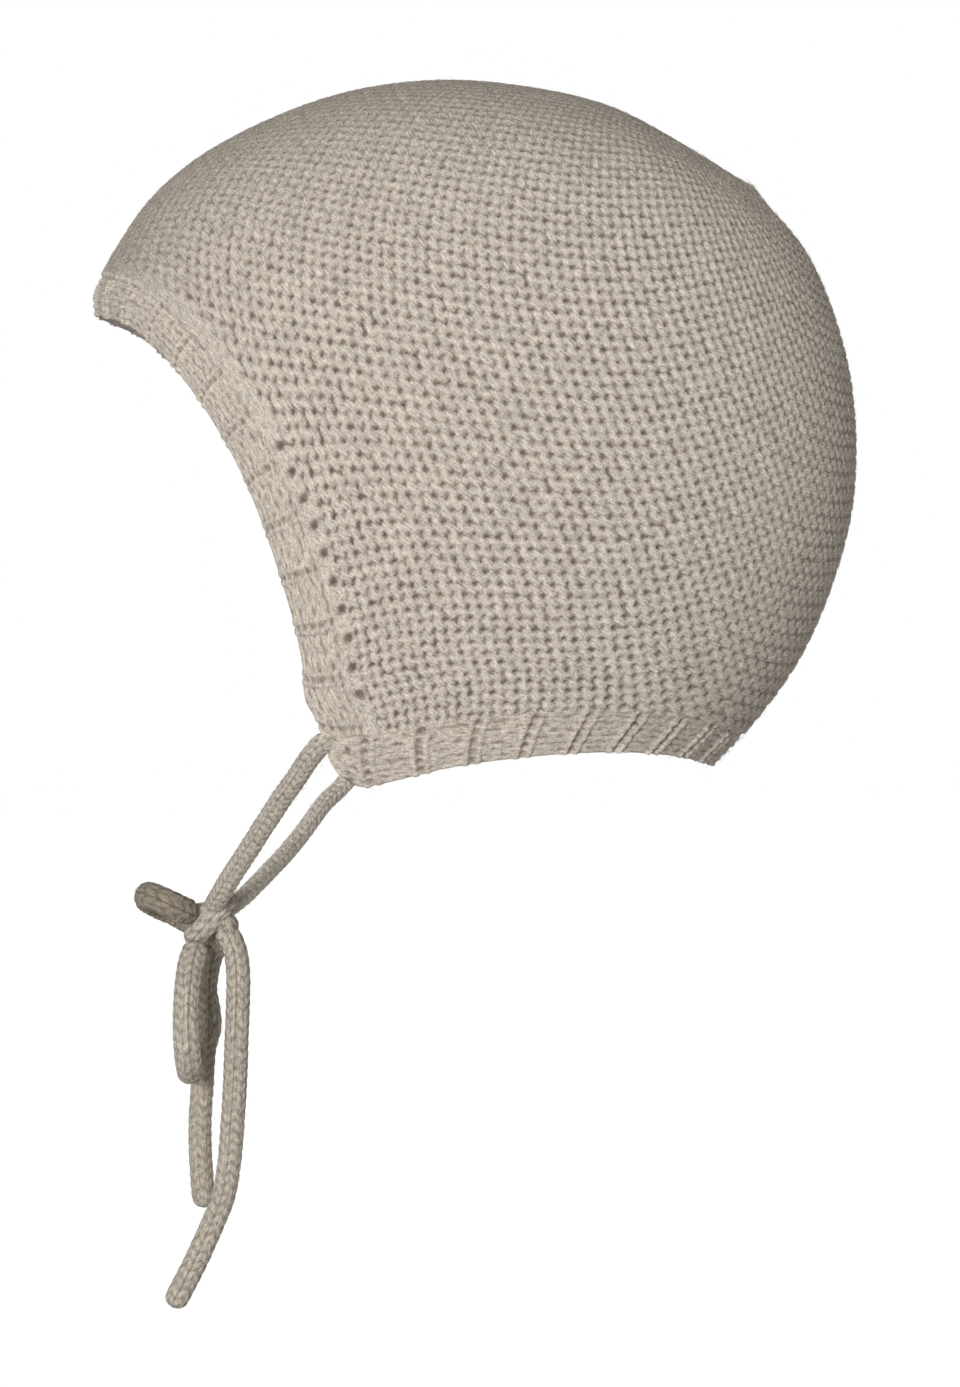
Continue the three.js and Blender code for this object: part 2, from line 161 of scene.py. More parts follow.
def smooth_line(points):
    """A smooth line through the points, as a function of the share of its length, and its length."""
    points = np.asarray(points, float)
    ends = np.vstack([2 * points[0] - points[1], points, 2 * points[-1] - points[-2]])
    gaps = np.maximum(np.linalg.norm(np.diff(ends, axis=0), axis=1), 1e-9) ** 0.5
    steps = 600
    along = np.linspace(0, len(points) - 1, steps + 1)
    first = np.minimum(along.astype(int), len(points) - 2)
    share = (along - first)[:, None]
    before, start, end, after = (ends[first + i] for i in range(4))
    gap_in, gap, gap_out = (gaps[first + i][:, None] for i in range(3))
    leave = gap * ((start - before) / gap_in - (end - before) / (gap_in + gap) + (end - start) / gap)
    arrive = gap * ((end - start) / gap - (after - start) / (gap + gap_out) + (after - end) / gap_out)
    line = start + leave * share
    line = line + (3 * (end - start) - 2 * leave - arrive) * share**2
    line = line + (2 * (start - end) + leave + arrive) * share**3
    reached = np.concatenate([[0], np.cumsum(np.linalg.norm(np.diff(line, axis=0), axis=1))])
    length = reached[-1]

    def at(shares):
        return np.stack([np.interp(shares, reached / length, line[:, i]) for i in range(3)], axis=-1)

    return at, length


def uneven(row, place, kind):
    """A number from -1 to 1 that is always the same for a stitch."""
    return 2 * np.modf(np.abs(np.sin(row * 12.9898 + place * 78.233 + kind * 37.719)) * 43758.5453)[0] - 1


def stitch_height(row, place, cell, bumps, wildness=0.05, spread=1.0):
    """How high the yarn stands, from 0 in the gaps to 1 on the crests. Each stitch is a few bumps of yarn,
    which stand a little unevenly, and closer together along a row where the spread is below 1."""
    height = np.zeros(np.shape(row))
    for kind, bump in enumerate(bumps):
        tilt = math.radians(bump["tilt"])
        bump_row = bump["row"] * spread
        near_row = np.floor(row - bump_row + 0.5)
        near_place = np.floor(place - bump["place"] + 0.5)
        for i in (-1, 0, 1):
            for j in (-1, 0, 1):
                own_row = near_row + i
                own_place = near_place + j
                chance = uneven(own_row, own_place, kind)
                other = uneven(own_place, own_row, kind + 7)
                x = (row - own_row - bump_row - wildness * chance) * cell[0]
                y = (place - own_place - bump["place"] - wildness * other) * cell[1]
                across = x * math.cos(tilt) - y * math.sin(tilt)
                along = x * math.sin(tilt) + y * math.cos(tilt)
                inside = 1 - (across / bump["width"]) ** 2 - (along / bump["length"]) ** 2
                dome = bump["height"] * np.maximum(inside, 0) ** bump_roundness
                height = np.maximum(height, dome * (1 + height_wildness * wildness * other))
    return height


def finished_piece(name, points, faces, height, yarn_places, inner_faces=None):
    """A smooth mesh that carries the height of its yarn, which sets its painted shade, and a map along and
    across the yarn.
    The inner faces, given as the first and the one after the last, take the piece's second material."""
    mesh = bpy.data.meshes.new(name)
    mesh.from_pydata(points.tolist(), [], faces)
    mesh.attributes.new("yarn_height_and_shade", "FLOAT", "POINT").data.foreach_set("value", height.astype(np.float32))
    corners = np.zeros(len(mesh.loops), np.int32)
    mesh.loops.foreach_get("vertex_index", corners)
    mesh.uv_layers.new(name="yarn").data.foreach_set("uv", yarn_places[corners].astype(np.float32).ravel())
    if inner_faces:
        inside = np.zeros(len(mesh.polygons), np.int32)
        inside[inner_faces[0]:inner_faces[1]] = 1
        mesh.polygons.foreach_set("material_index", inside)
    piece = bpy.data.objects.new(name, mesh)
    bpy.context.scene.collection.objects.link(piece)
    bpy.ops.object.select_all(action="DESELECT")
    bpy.context.view_layer.objects.active = piece
    piece.select_set(True)
    bpy.ops.object.shade_smooth_by_angle(angle=crease_angle)
    piece.select_set(False)
    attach(piece, "root")
    return piece


# How strongly the fibres, clouds of tone and fuzz make the wool lighter and darker about its own colour.
wool_tones = {"fibres": 1.8, "clouds": 0.3, "fuzz": 1.2}


def wool(name, light, shade, shade_up_to, fibre_bump, painted_stitch=None):
    """Soft undyed wool, coloured lighter on the crests as painted highlight and darker in the gaps as painted
    shade, with fine fibres along the yarn. The gaps are those of the mesh, or painted from the map where a
    stitch size is given."""
    material = bpy.data.materials.new(name)
    material.use_nodes = True
    nodes = material.node_tree.nodes
    link = material.node_tree.links.new
    surface = nodes["Principled BSDF"]
    surface.inputs["Roughness"].default_value = 0.95
    surface.inputs["Specular IOR Level"].default_value = 0.1
    surface.inputs["Sheen Weight"].default_value = 0.06
    surface.inputs["Sheen Roughness"].default_value = 0.7
    places = nodes.new("ShaderNodeTexCoord")
    if painted_stitch:
        split = nodes.new("ShaderNodeSeparateXYZ")
        link(places.outputs["UV"], split.inputs["Vector"])
        waves = []
        for axis, size in zip("XY", painted_stitch):
            turns = nodes.new("ShaderNodeMath")
            turns.operation = "MULTIPLY"
            turns.inputs[1].default_value = 2 * math.pi / size
            link(split.outputs[axis], turns.inputs[0])
            wave = nodes.new("ShaderNodeMath")
            wave.operation = "COSINE"
            link(turns.outputs["Value"], wave.inputs[0])
            waves.append(wave.outputs["Value"])
        product = nodes.new("ShaderNodeMath")
        product.operation = "MULTIPLY"
        link(waves[0], product.inputs[0])
        link(waves[1], product.inputs[1])
        yarn_height_and_shade = nodes.new("ShaderNodeMath")
        yarn_height_and_shade.operation = "MULTIPLY_ADD"
        yarn_height_and_shade.inputs[1].default_value = 0.5
        yarn_height_and_shade.inputs[2].default_value = 0.6
        link(product.outputs["Value"], yarn_height_and_shade.inputs[0])
        height = yarn_height_and_shade.outputs["Value"]
    else:
        attribute = nodes.new("ShaderNodeAttribute")
        attribute.attribute_name = "yarn_height_and_shade"
        height = attribute.outputs["Fac"]
    depth = nodes.new("ShaderNodeMapRange")
    depth.interpolation_type = "SMOOTHSTEP"
    depth.inputs["From Max"].default_value = shade_up_to
    link(height, depth.inputs["Value"])
    noises = {}
    for noise_name, source, scale, detail in (
        ("fibres", "UV", (620, 2300, 1), 3),
        ("clouds", "Object", (190, 190, 190), 4),
        ("fuzz", "Object", (2300, 2300, 2300), 2),
    ):
        stretch = nodes.new("ShaderNodeMapping")
        stretch.inputs["Scale"].default_value = scale
        link(places.outputs[source], stretch.inputs["Vector"])
        noise = nodes.new("ShaderNodeTexNoise")
        noise.inputs["Scale"].default_value = 1
        noise.inputs["Detail"].default_value = detail
        noise.inputs["Roughness"].default_value = 0.62
        link(stretch.outputs["Vector"], noise.inputs["Vector"])
        noises[noise_name] = noise.outputs["Fac"]
    # Painted shade in the gaps and painted highlight on the crests, from the yarn's height.
    colour = nodes.new("ShaderNodeMix")
    colour.data_type = "RGBA"
    colour.inputs["A"].default_value = (*shade, 1)
    colour.inputs["B"].default_value = (*light, 1)
    link(depth.outputs["Result"], colour.inputs["Factor"])
    tone = None
    for noise_name, strength in wool_tones.items():
        step = nodes.new("ShaderNodeMath")
        step.operation = "MULTIPLY_ADD"
        step.inputs[1].default_value = strength
        step.inputs[2].default_value = 1 - 0.5 * sum(wool_tones.values())
        link(noises[noise_name], step.inputs[0])
        if tone:
            link(tone, step.inputs[2])
        tone = step.outputs["Value"]
    brightness = nodes.new("ShaderNodeHueSaturation")
    link(colour.outputs["Result"], brightness.inputs["Color"])
    link(tone, brightness.inputs["Value"])
    link(brightness.outputs["Color"], surface.inputs["Base Color"])
    both = nodes.new("ShaderNodeMath")
    both.operation = "ADD"
    link(noises["fibres"], both.inputs[0])
    link(noises["fuzz"], both.inputs[1])
    bump = nodes.new("ShaderNodeBump")
    bump.inputs["Strength"].default_value = fibre_bump
    bump.inputs["Distance"].default_value = 0.0003
    link(both.outputs["Value"], bump.inputs["Height"])
    if painted_stitch:
        stitch_bump = nodes.new("ShaderNodeBump")
        stitch_bump.inputs["Distance"].default_value = 0.0006
        link(height, stitch_bump.inputs["Height"])
        link(stitch_bump.outputs["Normal"], bump.inputs["Normal"])
    link(bump.outputs["Normal"], surface.inputs["Normal"])
    return material


# The front loop is coloured darker than the other cords, as painted shade, and the tie of the far side paler,
# as painted light.
cord_wool = wool(
    "cord_wool", light=(0.50, 0.448, 0.378), shade=(0.31, 0.267, 0.212), shade_up_to=0.95,
    fibre_bump=1.0,
)
painted_light_cord_wool = wool(
    "painted_light_cord_wool", light=(0.66, 0.60, 0.52), shade=(0.50, 0.445, 0.375), shade_up_to=0.95,
    fibre_bump=1.0,
)
painted_shade_cord_wool = wool(
    "painted_shade_cord_wool", light=(0.285, 0.245, 0.188), shade=(0.18, 0.15, 0.11), shade_up_to=0.95,
    fibre_bump=1.0,
)


def knitted_tube(name, route, diameter, closed=False, flat=1.0, tone=1.0, yarn=cord_wool):
    """A knitted cord along a route, with rounded ends, or a closed ring of it. It is made taller than wide
    by flat, and darker by a tone below 1. Returns the piece, its path and its length."""
    at, length = smooth_line(route)
    rings = round(length / cord_ring_gap)
    share = np.linspace(0, 1, rings + 1)
    centre = at(share)
    ahead = np.gradient(centre, axis=0)
    ahead /= np.linalg.norm(ahead, axis=1)[:, None]
    side = np.zeros_like(centre)
    carried = np.array([1.0, 0.0, 0.0])
    for i, direction in enumerate(ahead):
        carried = carried - direction * carried.dot(direction)
        carried = carried / np.linalg.norm(carried)
        side[i] = carried
    up = np.cross(ahead, side)
    turn = np.arange(cord_sides) / cord_sides
    row, place = np.meshgrid(share * length / cord_stitch, turn * cord_columns, indexing="ij")
    place = place + row * cord_stitch * cord_twist * cord_columns / (2 * math.pi)
    column = math.pi * diameter / cord_columns
    height = stitch_height(row, place, (cord_stitch, column), cord_legs)
    from_end = np.minimum(share, 1 - share) * length
    roundness = np.sqrt(np.clip(1 - (1 - np.minimum(from_end / (diameter / 2), 1)) ** 2, 0, 1))
    radius = diameter / 2 + cord_relief * (height - cord_surface_height)
    if not closed:
        radius = radius * roundness[:, None]
    angle = 2 * math.pi * turn
    ring = side[:, None] * (np.cos(angle) / flat)[:, None] + up[:, None] * (np.sin(angle) * flat)[:, None]
    points = (centre[:, None] + ring * radius[..., None]).reshape(-1, 3)
    number = np.arange(rings + 1)[:, None] * cord_sides + np.arange(cord_sides)
    onward = np.roll(number, -1, axis=1)
    quads = np.stack([number[:-1], onward[:-1], onward[1:], number[1:]], axis=-1).reshape(-1, 4)
    faces = quads.tolist()
    if not closed:
        faces += [number[0, ::-1].tolist(), number[-1].tolist()]
    places = np.stack([row * cord_stitch, place * column], axis=-1).reshape(-1, 2)
    piece = finished_piece(name, points, faces, tone * height.ravel(), places)
    piece.data.materials.append(yarn)
    return piece, centre[:: max(1, rings // 120)], length


def into_knot(point):
    """A place inside the knot, on the way from a cord's end to the knot's middle."""
    return tuple((1 - share_into_knot) * np.array(point) + share_into_knot * knot_centre)


left_tie_seam = (0.0545, -0.0208, -0.1322)
right_tie_seam = (-0.0520, -0.0172, -0.1398)
cords = [
    {"name": "left_tie", "route": [left_tie_seam, *left_tie_route, into_knot(left_tie_route[-1])],
     "diameter": left_tie_diameter, "exit": left_tie_route[0], "far_end": "knot", "flat": 1.0, "tone": 1.0,
     "yarn": cord_wool},
    {"name": "right_tie", "route": [right_tie_seam, *right_tie_route, into_knot(right_tie_route[-1])],
     "diameter": right_tie_diameter, "exit": right_tie_route[0], "far_end": "knot", "flat": 1.0, "tone": 1.0,
     "yarn": painted_light_cord_wool},
    {"name": "front_loop", "route": front_loop_route, "diameter": cord_diameter,
     "exit": front_loop_route[0], "far_end": "knot", "flat": 1.12, "tone": 0.95, "yarn": painted_shade_cord_wool},
    {"name": "down_loop", "route": down_loop_route, "diameter": cord_diameter,
     "exit": down_loop_route[0], "far_end": "knot", "flat": 1.12, "tone": 0.8, "yarn": cord_wool},
    {"name": "long_tail", "route": [into_knot(long_tail_route[0]), *long_tail_route],
     "diameter": cord_diameter, "exit": long_tail_route[0], "far_end": "bare", "flat": 1.0, "tone": 0.78,
     "yarn": cord_wool},
    {"name": "short_tail", "route": [into_knot(short_tail_route[0]), *short_tail_route],
     "diameter": cord_diameter, "exit": short_tail_route[0], "far_end": "bare", "flat": 0.95, "tone": 0.65,
     "yarn": cord_wool},
]
cord_paths = []
for cord in cords:
    piece, path, length = knitted_tube(
        cord["name"] + "_knit", cord["route"], cord["diameter"], flat=cord["flat"], tone=cord["tone"],
        yarn=cord["yarn"],
    )
    cord_paths.append((path, cord["diameter"]))
    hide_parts(cord["name"])


# Knot of the bow.
# The same cord wound once round the crossing of the ties, pulled tight, with a second turn half hidden
# behind it. The turns lean back as the solid knot does.
knot_tilt = math.radians(42)
knot_cord_diameter = 0.0052
wrap_points = 25
wraps = [
    {"name": "knot_wrap", "lean": 0.0, "shift": 0.0, "half_height": 0.0046, "half_width": 0.0040},
    {"name": "knot_under_wrap", "lean": 1.05, "shift": 0.0008, "half_height": 0.0034, "half_width": 0.0030},
]
for wrap in wraps:
    lean = knot_tilt + wrap["lean"]
    long_way = np.array([0, math.sin(lean), math.cos(lean)])
    through = np.array([0, math.cos(lean), -math.sin(lean)])
    turns = np.linspace(0, 2 * math.pi, wrap_points)
    route = [
        knot_centre + through * wrap["shift"] * math.cos(2 * turn)
        + long_way * wrap["half_height"] * math.cos(turn)
        + np.array([1, 0, 0]) * wrap["half_width"] * math.sin(turn)
        for turn in turns
    ]
    piece, _, _ = knitted_tube(wrap["name"], route, knot_cord_diameter, closed=True)
    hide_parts("bow_knot")


# Crown.
# Soft beige wool in garter stitch. It is knitted from the ear flaps upwards, so its ridges run slantwise
# down the sides and meet along the middle of the top and the back. Its form is that of the solid crown.
cap_length = 0.1577
cap_height = 0.1466
cap_width = 0.126
knit_wall = 0.0028
apex_along = 0.455
face_turn = math.radians(25)
neck_turn = math.radians(32)
fullness = 0.82
top_line = [
    {"along": 0.003, "up": 0.668}, {"along": 0.001, "up": 0.695}, {"along": 0.010, "up": 0.722},
    {"along": 0.038, "up": 0.775}, {"along": 0.076, "up": 0.832}, {"along": 0.135, "up": 0.888},
    {"along": 0.232, "up": 0.945}, {"along": 0.337, "up": 0.984}, {"along": 0.455, "up": 1.000},
    {"along": 0.573, "up": 0.990}, {"along": 0.678, "up": 0.963}, {"along": 0.783, "up": 0.904},
    {"along": 0.824, "up": 0.877}, {"along": 0.847, "up": 0.862}, {"along": 0.865, "up": 0.853},
]
back_line = [
    {"along": 0.812, "up": 0.034}, {"along": 0.867, "up": 0.097}, {"along": 0.924, "up": 0.182},
    {"along": 0.961, "up": 0.267}, {"along": 0.992, "up": 0.380}, {"along": 1.000, "up": 0.479},
    {"along": 0.993, "up": 0.578}, {"along": 0.974, "up": 0.662}, {"along": 0.941, "up": 0.747},
    {"along": 0.913, "up": 0.790}, {"along": 0.889, "up": 0.819}, {"along": 0.865, "up": 0.853},
]
face_edge = [
    {"along": 0.342, "up": 0.008}, {"along": 0.329, "up": 0.020}, {"along": 0.317, "up": 0.038},
    {"along": 0.308, "up": 0.064}, {"along": 0.299, "up": 0.096}, {"along": 0.284, "up": 0.126},
    {"along": 0.279, "up": 0.181}, {"along": 0.268, "up": 0.236}, {"along": 0.253, "up": 0.291},
    {"along": 0.227, "up": 0.373}, {"along": 0.193, "up": 0.456}, {"along": 0.146, "up": 0.539},
    {"along": 0.103, "up": 0.597}, {"along": 0.054, "up": 0.645}, {"along": 0.003, "up": 0.668},
]
neck_edge = [
    {"along": 0.342, "up": 0.008}, {"along": 0.361, "up": 0.006}, {"along": 0.393, "up": 0.013},
    {"along": 0.470, "up": 0.033}, {"along": 0.546, "up": 0.045}, {"along": 0.623, "up": 0.052},
    {"along": 0.702, "up": 0.053}, {"along": 0.768, "up": 0.046}, {"along": 0.812, "up": 0.034},
]


def edge_line(rows):
    """An edge of the crown as it is seen from the side, as a smooth line through its points."""
    points = [
        (0, (row["along"] - apex_along) * cap_length, (row["up"] - 1) * cap_height + knit_wall)
        for row in rows
    ]
    return smooth_line(points)[0]


top_at = edge_line(top_line)
back_at = edge_line(back_line)
face_at = edge_line(face_edge)
neck_at = edge_line(neck_edge)


def turned(share, start_turn):
    """A share of the way round as a share of the distance seen from the side, and a share of the width."""
    angle = -start_turn + share * (math.pi / 2 + start_turn)
    start = math.sin(start_turn)
    return (np.sin(angle) + start) / (1 + start), np.maximum(np.cos(angle), 0) ** fullness


def outside(round_share, rise_share):
    """Points on the outside of the left half: round from the face edge, and rise from the neck edge."""
    g, round_width = turned(round_share, face_turn)
    h, rise_width = turned(rise_share, neck_turn)
    g, h = g[..., None], h[..., None]
    points = neck_at(g[..., 0]) * (1 - h) + top_at(g[..., 0]) * h
    points = points + face_at(h[..., 0]) * (1 - g) + back_at(h[..., 0]) * g
    points = points - face_at(0.0) * (1 - g) * (1 - h) - top_at(0.0) * (1 - g) * h
    points = points - neck_at(1.0) * g * (1 - h) - top_at(1.0) * g * h
    points[..., 0] = cap_width / 2 * round_width * rise_width
    return points


def outward(round_share, rise_share):
    """The direction out of the knit. On the middle plane it lies in that plane."""
    step = 0.004
    r = np.clip(round_share, step, 1 - step)
    s = np.clip(rise_share, step, 1 - step)
    step_round = outside(r + step, s) - outside(r - step, s)
    step_up = outside(r, s + step) - outside(r, s - step)
    normal = np.cross(step_round, step_up)
    normal[..., 0] = np.where((round_share >= 1) | (rise_share >= 1), 0, normal[..., 0])
    return normal / np.linalg.norm(normal, axis=-1)[..., None]


def share_across(width, line):
    """How far a strip of this width reaches along a line of points, as a share of the way."""
    shares = np.linspace(0, 0.5, 151)
    reached = np.concatenate([[0], np.cumsum(np.linalg.norm(np.diff(line(shares), axis=0), axis=1))])
    return np.interp(width, reached, shares)


def through(values):
    """A smooth run of values through one at the start, one at the middle and one at the end."""
    start, middle, end = values
    return lambda t: start * (1 - t) * (1 - 2 * t) + middle * 4 * t * (1 - t) + end * t * (2 * t - 1)


def face_strip(width):
    """How much of the way round a strip of this width beside the face edge takes, at any rise."""
    return through([share_across(width, lambda r, s=s: outside(r, np.full_like(r, s))) for s in (0, 0.5, 1)])


neck_flap_extra = 0.0045
neck_flap_fade = 12


def neck_strip(width):
    """How much of the rise a strip of this width beside the neck edge takes. It widens at the ear flap."""
    def reach(r, wide):
        return share_across(wide, lambda s: outside(np.full_like(s, r), s))

    even = through([reach(r, width) for r in (0, 0.5, 1)])
    extra = reach(0, width + neck_flap_extra) - reach(0, width)
    return lambda r: even(r) + extra * np.clip(1 - r, 0, 1) ** neck_flap_fade


# Ridges and stitches of the garter knit, counted from the ear flap to places on the edges of a half.
knit_counts = [
    {"place": "flap", "ridges": 0.0, "stitches": 0.0},
    {"place": "middle of the face edge", "ridges": 12.5, "stitches": -13.0},
    {"place": "peak", "ridges": 11.5, "stitches": -19.5},
    {"place": "middle of the top", "ridges": 37.0, "stitches": -30.5},
    {"place": "nub", "ridges": 64.0, "stitches": 4.5},
    {"place": "middle of the back", "ridges": 35.5, "stitches": 21.0},
    {"place": "nape", "ridges": 16.5, "stitches": 15.5},
    {"place": "middle of the neck edge", "ridges": 11.5, "stitches": 10.5},
]
# How many more there are on the round of the side than an even spread from the edges would give.
side_counts = [
    {"place": "middle of the side", "ridges": 3.9, "stitches": 2.2},
    {"place": "side, growing towards the back", "ridges": 5.7, "stitches": -7.9},
    {"place": "side, growing towards the top", "ridges": 10.1, "stitches": 9.6},
]


ridge_gap = 0.0032
stitch_gap = 0.0042
middle_zone = 0.036
change_of_side = 4


def count_over(round_share, rise_share, what):
    """The count of ridges or of stitches at a place, spread smoothly from the counts on the edges."""
    flap, face, peak, top, nub, back, nape, neck = (row[what] for row in knit_counts)
    middle, backwards, upwards = (row[what] for row in side_counts)
    g, _ = turned(round_share, face_turn)
    h, _ = turned(rise_share, neck_turn)
    r, s = round_share, rise_share
    count = through([flap, neck, nape])(g) * (1 - s) + through([peak, top, nub])(g) * s
    count = count + through([flap, face, peak])(h) * (1 - r) + through([nape, back, nub])(h) * r
    count = count - (flap * (1 - r) * (1 - s) + peak * (1 - r) * s + nape * r * (1 - s) + nub * r * s)
    # The swell grows from 0 on the edges to 1 on the round of the side.
    swell = 16 * g * (1 - g) * h * (1 - h)
    count = count + swell * (middle + backwards * (g - 0.5) + upwards * (h - 0.5))
    if what == "stitches":
        # Close to the middle of the top and of the back the stitches keep their own width.
        from_middle = outside(r, s)[..., 0]
        short_of = np.maximum(middle_zone - from_middle, 0)
        count = count + short_of**2 / (2 * middle_zone * stitch_gap) * np.tanh(change_of_side * (r - s))
    return count


# One stitch of the garter knit: two bumps, one on each side of its ridge, and the two legs between them.
garter_bumps = [
    {"row": -0.25, "place": 0.0, "length": 0.00222, "width": 0.00118, "tilt": -9, "height": 1.0},
    {"row": 0.25, "place": 0.5, "length": 0.00200, "width": 0.00106, "tilt": 9, "height": 0.92},
    {"row": 0.0, "place": 0.25, "length": 0.00160, "width": 0.00074, "tilt": 36, "height": 0.82},
    {"row": 0.0, "place": 0.75, "length": 0.00160, "width": 0.00074, "tilt": -36, "height": 0.82},
]
garter_wildness = 0.05
# The knit is drawn closer and smoother towards the middle of the top and of the back, and there its colour is
# darkened as painted shade.
top_fade = {"strength": 0.72, "start": 0.45, "end": 0.9}
back_fade = {"strength": 0.6, "start": 0.45, "end": 0.85}
back_closing = {"strength": 0.3, "start": 0.62, "end": 0.9}
faded_depth = 0.9
faded_shade = 0.9
back_painted_shade = 0.58
top_painted_shade = 0.40
top_painted_shade_start = 0.5
top_painted_shade_end = 0.9
plain_height = 0.8
plain_share = 0.75
crown_tuck = 0.0006
crown_rise_steps = 384
crown_round_steps = 348
inside_steps = 4
knit_depth = 0.00105
crest_height = 0.00028
crown_wool = wool(
    "crown_wool", light=(0.545, 0.487, 0.418), shade=(0.165, 0.128, 0.095), shade_up_to=0.92,
    fibre_bump=1.0,
)


def folded_sheet(outer, inner):
    """Points and faces of a sheet of knit, and which faces are inside. The inside has a quarter of the steps,
    and the rims are closed."""
    rows, across = outer.shape[:2]
    outer_number = np.arange(rows * across).reshape(rows, across)
    inner_number = rows * across + np.arange(inner.shape[0] * inner.shape[1]).reshape(inner.shape[:2])

    def quads(number):
        corners = [number[:-1, :-1], number[:-1, 1:], number[1:, 1:], number[1:, :-1]]
        return np.stack(corners, axis=-1).reshape(-1, 4)

    faces = quads(outer_number).tolist()
    first_inner = len(faces)
    faces += quads(inner_number)[:, ::-1].tolist()
    inner_faces = (first_inner, len(faces))
    rims = [
        (outer_number[0, ::-1], inner_number[0, ::-1]), (outer_number[:, 0], inner_number[:, 0]),
        (outer_number[-1], inner_number[-1]), (outer_number[::-1, -1], inner_number[::-1, -1]),
    ]
    half = inside_steps // 2
    for out, back in rims:
        for i in range(inside_steps):
            start, end = out[i:-1:inside_steps], out[i + 1 :: inside_steps]
            nearest = back[:-1] if i < half else back[1:]
            faces += np.stack([start, end, nearest], axis=-1).tolist()
        faces += np.stack([out[half:-1:inside_steps], back[1:], back[:-1]], axis=-1).tolist()
    return np.concatenate([outer.reshape(-1, 3), inner.reshape(-1, 3)]), faces, inner_faces


def measured(line):
    """Shares of a line of points, and how far along the line each of them is."""
    shares = np.linspace(0, 1, 301)
    return shares, np.concatenate([[0], np.cumsum(np.linalg.norm(np.diff(line(shares), axis=0), axis=1))])


def pit(along, across, radius):
    """How deep a round hole is, from 1 in its middle to 0 outside, at distances from its middle."""
    return np.exp(-((along**2 + across**2) / radius**2) ** 1.5)


face_band_width = 0.010
neck_band_width = 0.010
corner_tuck = 0.0004
crown_front = face_strip(face_band_width - crown_tuck)
crown_foot = neck_strip(neck_band_width - crown_tuck)
face_join = face_strip(face_band_width)
face_band_foot = neck_strip(neck_band_width - corner_tuck)
foot = float(face_band_foot(np.array(0.0)))


def along_join(t):
    """Points on the seam between the crown and the face band, at a share of the way up it."""
    rise = foot + (1 - foot) * t
    return outside(face_join(rise), rise)


# A row of eyelets runs beside the face band where its stitches were picked up.
join_shares, join_reached = measured(along_join)
first_eyelet = 0.0048
eyelet_gap = 0.0059
eyelet_count = 10
eyelet_radius = 0.00095
eyelet_in = 0.0009
eyelet_depth = 0.0012
plain_strip_start = 0.00156
plain_strip = 0.0026


def eyelets(rise_share, from_join):
    """How deep the eyelets are at a share of the rise and a distance in from the face band."""
    along = np.interp((rise_share - foot) / (1 - foot), join_shares, join_reached)
    number = np.clip(np.round((along - first_eyelet) / eyelet_gap), 0, eyelet_count - 1)
    return pit(along - first_eyelet - number * eyelet_gap, from_join - eyelet_in, eyelet_radius)


def crown_places(round_steps, rise_steps):
    """The grid of places on the left half of the crown."""
    across, up = np.meshgrid(round_steps, rise_steps)
    round_share, rise_share = across.copy(), up.copy()
    for _ in range(4):
        front = crown_front(rise_share)
        round_share = front + (1 - front) * across
        low = crown_foot(round_share)
        rise_share = low + (1 - low) * up
    round_share[:, -1] = 1
    rise_share[-1] = np.where(up[-1] >= 1, 1, rise_share[-1])
    return round_share, rise_share


def eased(value, start, end):
    """0 before start, 1 after end and smooth between."""
    share = np.clip((value - start) / (end - start), 0, 1)
    return share * share * (3 - 2 * share)


def fade(place, zone):
    """How far something has faded at a place, from 0 before the zone to its strength after it."""
    return zone["strength"] * eased(place, zone["start"], zone["end"])


# The inside is coloured paler than the outside, as painted light against the shade inside the bonnet, and its
# stitches are painted on it with painted shade in their gaps.
inside_wool_painted_light = wool(
    "inside_wool_painted_light", light=(0.68, 0.62, 0.54), shade=(0.52, 0.465, 0.395), shade_up_to=0.95, fibre_bump=0.9,
    painted_stitch=(stitch_gap, ridge_gap),
)


